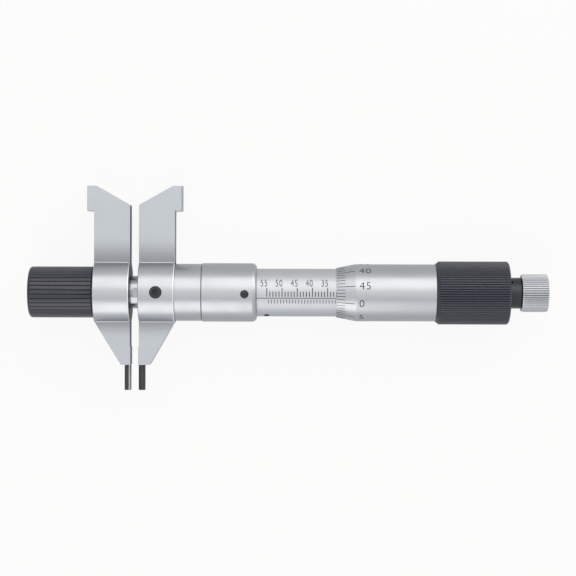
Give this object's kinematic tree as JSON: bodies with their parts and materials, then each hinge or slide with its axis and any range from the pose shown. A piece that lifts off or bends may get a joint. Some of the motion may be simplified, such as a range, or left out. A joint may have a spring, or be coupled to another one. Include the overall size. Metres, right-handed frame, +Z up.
{
  "type": "inside micrometer",
  "caption": "Inside micrometer with a fixed and a sliding jaw, outward hooks above and thin measuring pins below, a clamp knob, graduated sleeve, thimble and ratchet stop.",
  "frame": {"origin": "bottom centre of the instrument's box: on the bench under the middle of its length and of its span from hooks to pins", "axes": "+X runs along the centre line from the clamp knob to the ratchet; the hooks point to +Y and dip to the bench; +Z is up, and the graduated side faces up, rolled about 11.6 degrees towards +Y"},
  "size_m": [0.1722, 0.0674, 0.021],
  "materials": {
    "satin_chrome": "satin chrome plated steel, fine matt grain",
    "polished_steel": "ground and polished steel",
    "bright_steel": "turned bright steel",
    "ribbed_chrome": "straight-knurled satin chrome",
    "dark_carbide": "dark ground hard metal",
    "blackened_steel": "blackened steel, semi-gloss",
    "bronze": "turned bronze",
    "black_knob": "black moulded plastic, semi-matt"
  },
  "bodies": {
    "frame": {"body_tube": "satin_chrome", "fixed_jaw": "satin_chrome", "fixed_jaw_pin": "dark_carbide", "guide_screw": "blackened_steel", "collar": "satin_chrome", "collar_screw": "blackened_steel", "sleeve": "satin_chrome", "spindle_nut": "bronze", "adjusting_nut": "bright_steel"},
    "slide": {"guide_rod": "polished_steel", "movable_jaw": "satin_chrome", "movable_jaw_pin": "dark_carbide", "lock_plug": "bronze", "thrust_ball": "polished_steel", "coupling_nut": "bright_steel"},
    "clamp": {"clamp_knob": "black_knob", "clamp_screw": "bright_steel"},
    "thimble": {"spindle": "bright_steel", "spindle_clip": "bright_steel", "thimble": "satin_chrome", "thimble_grip": "black_knob", "ratchet_body": "blackened_steel", "ratchet_plate": "bright_steel", "ratchet_spring": "bright_steel", "ratchet_screw": "bright_steel"},
    "ratchet": {"ratchet_knob": "ribbed_chrome"}
  },
  "joints": [
    {"name": "jaw_slide", "type": "slide", "parent": "frame", "child": "slide", "axis": [-1, 0, 0], "range_m": [-0.00199, 0.02301]},
    {"name": "thimble_turn", "type": "hinge", "parent": "slide", "child": "thimble", "pos_m": [0, -0.00158, 0.0105], "axis": [-1, 0, 0], "range_deg": [-1432.8, 16567.2]},
    {"name": "ratchet_turn", "type": "hinge", "parent": "thimble", "child": "ratchet", "pos_m": [0.08, -0.00158, 0.0105], "axis": [-1, 0, 0], "continuous": true},
    {"name": "clamp_turn", "type": "hinge", "parent": "slide", "child": "clamp", "pos_m": [-0.075, -0.00158, 0.0105], "axis": [1, 0, 0], "range_deg": [0, 90]}
  ],
  "couplings": [
    {"joint": "thimble_turn", "follows": "jaw_slide", "rad_per_m": 12566}
  ]
}
